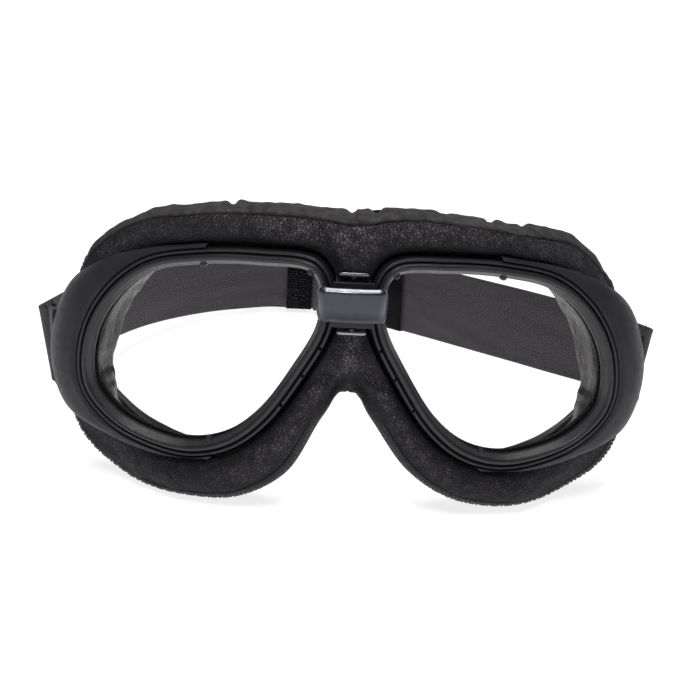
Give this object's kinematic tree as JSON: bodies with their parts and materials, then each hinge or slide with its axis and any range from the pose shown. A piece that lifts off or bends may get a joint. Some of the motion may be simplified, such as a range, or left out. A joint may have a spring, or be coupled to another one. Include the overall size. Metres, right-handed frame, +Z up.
{
  "type": "motorcycle goggles",
  "caption": "Padded riding goggles: clear lenses in dark rims hinged on a centre clip, a leather face mask, curved temple wings and an elastic head strap with sliders.",
  "frame": {"origin": "on the surface that the goggles stand on, under the middle of their bounding box", "axes": "+X across the goggles, to the viewer's right as seen from the front; +Y from the lenses towards the back of the strap; +Z up"},
  "size_m": [0.1918, 0.166, 0.093],
  "materials": {
    "rim_plastic": "satin moulded, dark grey",
    "leather": "fine pebble grain, black",
    "lining": "brushed black cloth",
    "foam": "soft dark foam",
    "lens": "clear, polished",
    "rubber": "smooth grey-brown",
    "gunmetal": "satin gunmetal",
    "steel": "bright",
    "webbing": "woven elastic, charcoal",
    "slider_plastic": "satin, black"
  },
  "bodies": {
    "bridge": {"bridge_clip": "gunmetal", "bridge_backplate": "rim_plastic", "staple_upper": "steel", "staple_lower": "steel", "mask_web": "leather", "hinge_pin_left": "steel", "hinge_pin_right": "steel"},
    "left_frame": {"casing_left": "rim_plastic", "bezel_left": "rim_plastic", "lens_left": "lens", "gasket_left": "rubber", "eyecup_left": "rubber", "wing_left": "rim_plastic", "cover_left": "leather", "foam_left": "foam", "lining_left": "lining"},
    "right_frame": {"casing_right": "rim_plastic", "bezel_right": "rim_plastic", "lens_right": "lens", "gasket_right": "rubber", "eyecup_right": "rubber", "wing_right": "rim_plastic", "cover_right": "leather", "foam_right": "foam", "lining_right": "lining"},
    "left_strap": {"strap_left": "webbing"},
    "right_strap": {"strap_right": "webbing"},
    "left_slider": {"slider_left": "slider_plastic"},
    "right_slider": {"slider_right": "slider_plastic"}
  },
  "joints": [
    {"name": "fold_left", "type": "hinge", "parent": "bridge", "child": "left_frame", "pos_m": [-0.00732, -0.07878, 0.07056], "axis": [0, -0.1736, -0.9848], "range_deg": [-8, 10]},
    {"name": "fold_right", "type": "hinge", "parent": "bridge", "child": "right_frame", "pos_m": [0.00728, -0.07878, 0.07056], "axis": [0, 0.1736, 0.9848], "range_deg": [-8, 10]},
    {"name": "strap_left_swing", "type": "hinge", "parent": "left_frame", "child": "left_strap", "pos_m": [-0.09262, -0.03617, 0.03456], "axis": [0, -0.1736, -0.9848], "range_deg": [-10, 8]},
    {"name": "strap_right_swing", "type": "hinge", "parent": "right_frame", "child": "right_strap", "pos_m": [0.09259, -0.03617, 0.03456], "axis": [0, 0.1736, 0.9848], "range_deg": [-10, 8]},
    {"name": "slider_left_slide", "type": "slide", "parent": "left_strap", "child": "left_slider", "axis": [1, 0, 0], "range_m": [0, 0.014]},
    {"name": "slider_right_slide", "type": "slide", "parent": "right_strap", "child": "right_slider", "axis": [-0.712, 0.6915, -0.1219], "range_m": [-0.014, 0.014]}
  ],
  "couplings": [
    {"joint": "fold_right", "follows": "fold_left", "ratio": 1},
    {"joint": "strap_left_swing", "follows": "fold_left", "ratio": -1},
    {"joint": "strap_right_swing", "follows": "fold_left", "ratio": -1}
  ]
}
